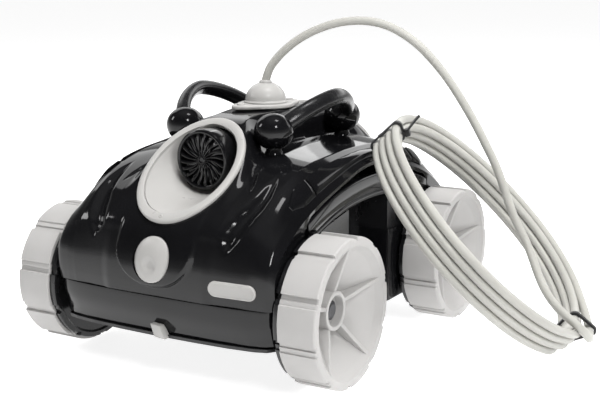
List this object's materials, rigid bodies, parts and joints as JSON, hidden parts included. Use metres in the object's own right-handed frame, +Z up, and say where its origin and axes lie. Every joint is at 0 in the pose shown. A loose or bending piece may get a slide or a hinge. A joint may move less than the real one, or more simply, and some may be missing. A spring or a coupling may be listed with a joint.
{
  "type": "pool cleaner",
  "caption": "Wheeled underwater pool cleaner with slanted jet nozzles at both ends, two carrying bows and a floating cable wound in a tied hank",
  "frame": {"origin": "on the ground under the middle of the body", "axes": "+Z up; the front, with the badge, faces -Y; +X is the side on which the cable hank lies"},
  "size_m": [0.4971, 0.4076, 0.3255],
  "materials": {
    "cable_grey": "soft light grey cable jacket",
    "dark_grey": "satin dark grey moulding",
    "filter_cloth": "white filter cloth",
    "float_foam": "closed-cell float",
    "gloss_black": "high-gloss black moulding",
    "light_grey": "smooth light grey moulding",
    "matte_black": "satin black moulding",
    "steel": "plain stainless steel",
    "tie_black": "black nylon"
  },
  "bodies": {
    "wheel_front_left": {"wheel_front_left": "light_grey", "wheel_disc_front_left": "matte_black", "hub_screw_front_left": "steel"},
    "wheel_front_right": {"wheel_front_right": "light_grey", "wheel_disc_front_right": "matte_black", "hub_screw_front_right": "steel"},
    "wheel_rear_left": {"wheel_rear_left": "light_grey", "wheel_disc_rear_left": "matte_black", "hub_screw_rear_left": "steel"},
    "wheel_rear_right": {"wheel_rear_right": "light_grey", "wheel_disc_rear_right": "matte_black", "hub_screw_rear_right": "steel"},
    "pump_rotor": {"pump_shaft": "steel", "propeller_front": "dark_grey", "propeller_rear": "dark_grey"},
    "latch_front": {"latch_front": "light_grey", "latch_spring_front": "steel"},
    "latch_rear": {"latch_rear": "light_grey", "latch_spring_rear": "steel"},
    "intake_flap_left": {"intake_flap_left": "dark_grey"},
    "intake_flap_right": {"intake_flap_right": "dark_grey"},
    "body": {"axle_front_left": "steel", "axle_front_right": "steel", "axle_rear_left": "steel", "axle_rear_right": "steel", "badge_plate": "light_grey", "base_plate": "matte_black", "chassis": "matte_black", "cord_coil": "cable_grey", "cord_connector": "matte_black", "cord_free": "cable_grey", "cord_tie_bottom": "tie_black", "cord_tie_top": "tie_black", "fender_left": "gloss_black", "fender_right": "gloss_black", "filter_bag": "filter_cloth", "float_front": "float_foam", "float_rear": "float_foam", "gland_dome": "light_grey", "gland_flange": "light_grey", "gland_screw_front": "dark_grey", "gland_screw_rear": "dark_grey", "guard_front": "matte_black", "guard_rear": "matte_black", "handle_knob_front_left": "gloss_black", "handle_knob_front_right": "gloss_black", "handle_knob_rear_left": "gloss_black", "handle_knob_rear_right": "gloss_black", "handle_left": "matte_black", "handle_right": "matte_black", "lower_shell": "gloss_black", "motor_can": "dark_grey", "nozzle_front": "light_grey", "nozzle_rear": "light_grey", "pump_deck": "matte_black", "release_tab": "light_grey", "shoulder_trim_left": "gloss_black", "shoulder_trim_right": "gloss_black", "upper_shell": "gloss_black"}
  },
  "joints": [
    {"name": "wheel_front_left_spin", "type": "hinge", "parent": "body", "child": "wheel_front_left", "pos_m": [-0.15, -0.1253, 0.07], "axis": [-1, 0, 0], "continuous": true},
    {"name": "wheel_front_right_spin", "type": "hinge", "parent": "body", "child": "wheel_front_right", "pos_m": [0.15, -0.1253, 0.07], "axis": [1, 0, 0], "continuous": true},
    {"name": "wheel_rear_left_spin", "type": "hinge", "parent": "body", "child": "wheel_rear_left", "pos_m": [-0.15, 0.1253, 0.07], "axis": [-1, 0, 0], "continuous": true},
    {"name": "wheel_rear_right_spin", "type": "hinge", "parent": "body", "child": "wheel_rear_right", "pos_m": [0.15, 0.1253, 0.07], "axis": [1, 0, 0], "continuous": true},
    {"name": "pump_spin", "type": "hinge", "parent": "body", "child": "pump_rotor", "pos_m": [0, 0, 0.1947], "axis": [0, 1, 0], "continuous": true},
    {"name": "latch_front_press", "type": "slide", "parent": "body", "child": "latch_front", "axis": [0, 0.9636, -0.2672], "range_m": [0, 0.003], "stiffness_N_per_m": 800},
    {"name": "latch_rear_press", "type": "slide", "parent": "body", "child": "latch_rear", "axis": [0, -0.9636, -0.2672], "range_m": [0, 0.003], "stiffness_N_per_m": 800},
    {"name": "intake_flap_left_swing", "type": "hinge", "parent": "body", "child": "intake_flap_left", "pos_m": [-0.0085, 0, 0.0465], "axis": [0, 1, 0], "range_deg": [0, 75]},
    {"name": "intake_flap_right_swing", "type": "hinge", "parent": "body", "child": "intake_flap_right", "pos_m": [0.0085, 0, 0.0465], "axis": [0, -1, 0], "range_deg": [0, 75]}
  ]
}
